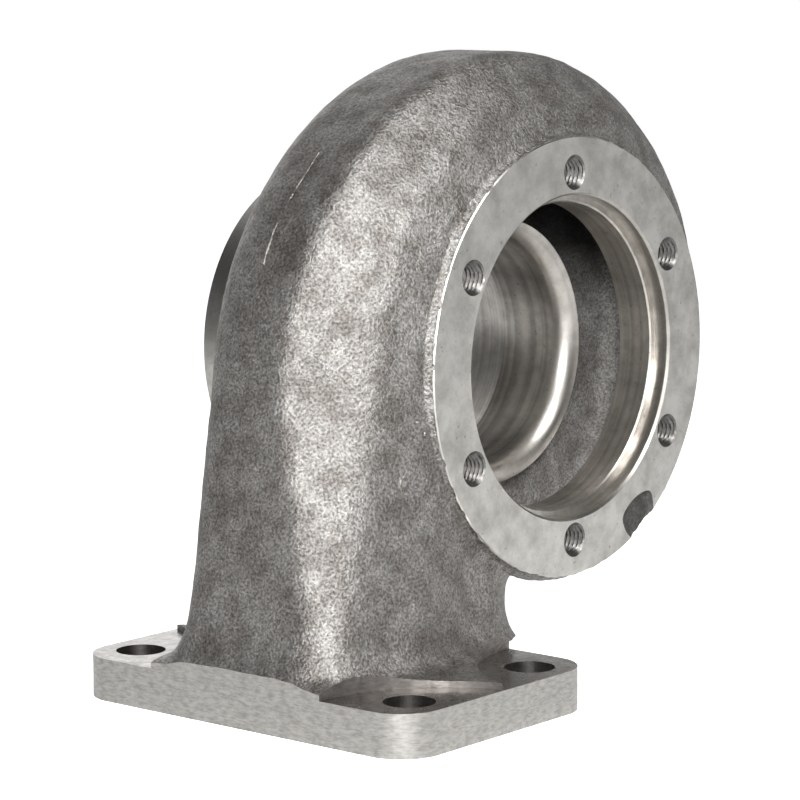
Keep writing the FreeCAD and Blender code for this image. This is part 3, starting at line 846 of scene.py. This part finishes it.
cutter = [(0, FOOT_Z), (SPOTFACE, FOOT_Z), (SPOTFACE, 20), (0, 20)]
drill = [(0, -3), (HOLE_RADIUS, -3), (HOLE_RADIUS, 14), (0, 14)]
for right in (-1, 1):
    for back in (-1, 1):
        corner = (right * FOOT_X / 2, back * (FOOT_Y / 2 + SPOTFACE_OUT))
        spotface = upright("spotface", cutter, corner, 128, SPOTFACED)
        spotface.data.materials.append(SPOTWALL)
        for side in spotface.data.polygons:
            side.material_index = int(abs(side.normal.z) < 0.5)
        subtract(casting, spotface)
        hole = (right * HOLE_X / 2, back * HOLE_Y / 2)
        subtract(casting, upright("hole", drill, hole, 64, DRILLED))
for index in range(6):
    angle = math.radians(90 + 60 * index)
    centre = (AXIS_X + STUD_RADIUS * math.cos(angle), AXIS_Z + STUD_RADIUS * math.sin(angle))
    subtract(casting, tapped_hole(centre))
subtract(casting, tube("rim_relief", rim_relief(), UNCUT))

shade(casting)
casting.name = "housing_casting"
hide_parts("turbine_housing")
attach(casting, "root")

# Camera, fitted to the photograph
TARGET = np.array([26.67, 0.0, 72.41])
FORWARD = np.array([0.75537, 0.64092, -0.13652])
RIGHT = np.array([0.64618, -0.76315, -0.00739])
UP = np.array([0.10892, 0.08264, 0.99061])
DISTANCE = 750.6
LENS = 134.1
camera = bpy.data.objects.new("camera", bpy.data.cameras.new("camera"))
bpy.context.scene.collection.objects.link(camera)
place = (TARGET - FORWARD * DISTANCE) * MM
camera.matrix_world = Matrix(
    [[RIGHT[i], UP[i], -FORWARD[i], place[i]] for i in range(3)] + [[0, 0, 0, 1]]
)
camera.data.lens = LENS
camera.data.sensor_width = 36
camera.data.clip_start = 0.01
bpy.context.scene.camera = camera


# Floor and light
ROOM = 0.0
BACKDROP = 1.3
GLOW = 0.9
FLOOR = 3000
AIM = (30, 0, 80)


def floor():
    """White floor that keeps the object's shadow; the camera sees it glow."""
    material, tree, place = new_material("studio_floor")
    seen = add(tree, "ShaderNodeLightPath").outputs["Is Camera Ray"]
    glow = add(tree, "ShaderNodeMath", {"operation": "MULTIPLY", 1: GLOW}, i0=seen)
    paint = {"Base Color": linear("f4f4f4"), "Roughness": 0.9, "Emission Color": linear("ffffff")}
    shader = add(tree, "ShaderNodeBsdfPrincipled", paint, Emission_Strength=glow)
    add(tree, "ShaderNodeOutputMaterial", None, Surface=shader)
    corners = [(-FLOOR, -FLOOR, 0), (FLOOR, -FLOOR, 0), (FLOOR, FLOOR, 0), (-FLOOR, FLOOR, 0)]
    new_object("floor", corners, [[0, 1, 2, 3]], material)


def studio():
    """World light: a bright backdrop behind the object, dimmed on the right, and a dark room.

    Its level rises with how far a direction points the way the camera looks, and falls with how far
    it points to the camera's right. Seen by the camera itself the world is white.
    """
    world = bpy.data.worlds.new("studio")
    bpy.context.scene.world = world
    world.use_nodes = True
    tree = world.node_tree
    tree.nodes.clear()
    direction = add(tree, "ShaderNodeTexCoord").outputs["Generated"]
    ahead = {"operation": "DOT_PRODUCT", 1: tuple(FORWARD)}
    toward = add(tree, "ShaderNodeVectorMath", ahead, i0=direction).outputs["Value"]
    backdrop = {"From Min": 0.2, "From Max": 0.8, "To Min": ROOM, "To Max": BACKDROP}
    bright = add(tree, "ShaderNodeMapRange", backdrop, Value=toward)
    sideways = {"operation": "DOT_PRODUCT", 1: tuple(RIGHT)}
    aside = add(tree, "ShaderNodeVectorMath", sideways, i0=direction).outputs["Value"]
    screen = {"From Min": -0.05, "From Max": 0.12, "To Min": 1.0, "To Max": 0.3}
    dimmed = add(tree, "ShaderNodeMapRange", screen, Value=aside)
    level = add(tree, "ShaderNodeMath", {"operation": "MULTIPLY"}, i0=bright, i1=dimmed)
    seen = add(tree, "ShaderNodeLightPath").outputs["Is Camera Ray"]
    strength = add(tree, "ShaderNodeMath", {"operation": "MAXIMUM"}, i0=level, i1=seen)
    background = add(tree, "ShaderNodeBackground", {"Color": linear("ffffff")}, Strength=strength)
    add(tree, "ShaderNodeOutputWorld", None, Surface=background)


def lamp(name, place, size, power):
    """Soft square lamp aimed at the object; places in millimetres."""
    light = bpy.data.lights.new(name, "AREA")
    light.size = size * MM
    light.energy = power
    thing = bpy.data.objects.new(name, light)
    bpy.context.scene.collection.objects.link(thing)
    place = np.array(place, float)
    back = place - np.array(AIM, float)
    back /= np.linalg.norm(back)
    side = np.cross([0, 0, 1], back)
    side /= np.linalg.norm(side)
    up = np.cross(back, side)
    thing.matrix_world = Matrix(
        [[side[i], up[i], back[i], place[i] * MM] for i in range(3)] + [[0, 0, 0, 1]]
    )


floor()
studio()
lamp("key", (-607, -570, 335), 280, 8.6)
lamp("top", (-151, -542, 776), 500, 7.4)
lamp("right", (754, -525, 189), 900, 1.15)
lamp("left", (-817, 273, 217), 700, 0.6)

bpy.context.scene.view_settings.view_transform = "Standard"
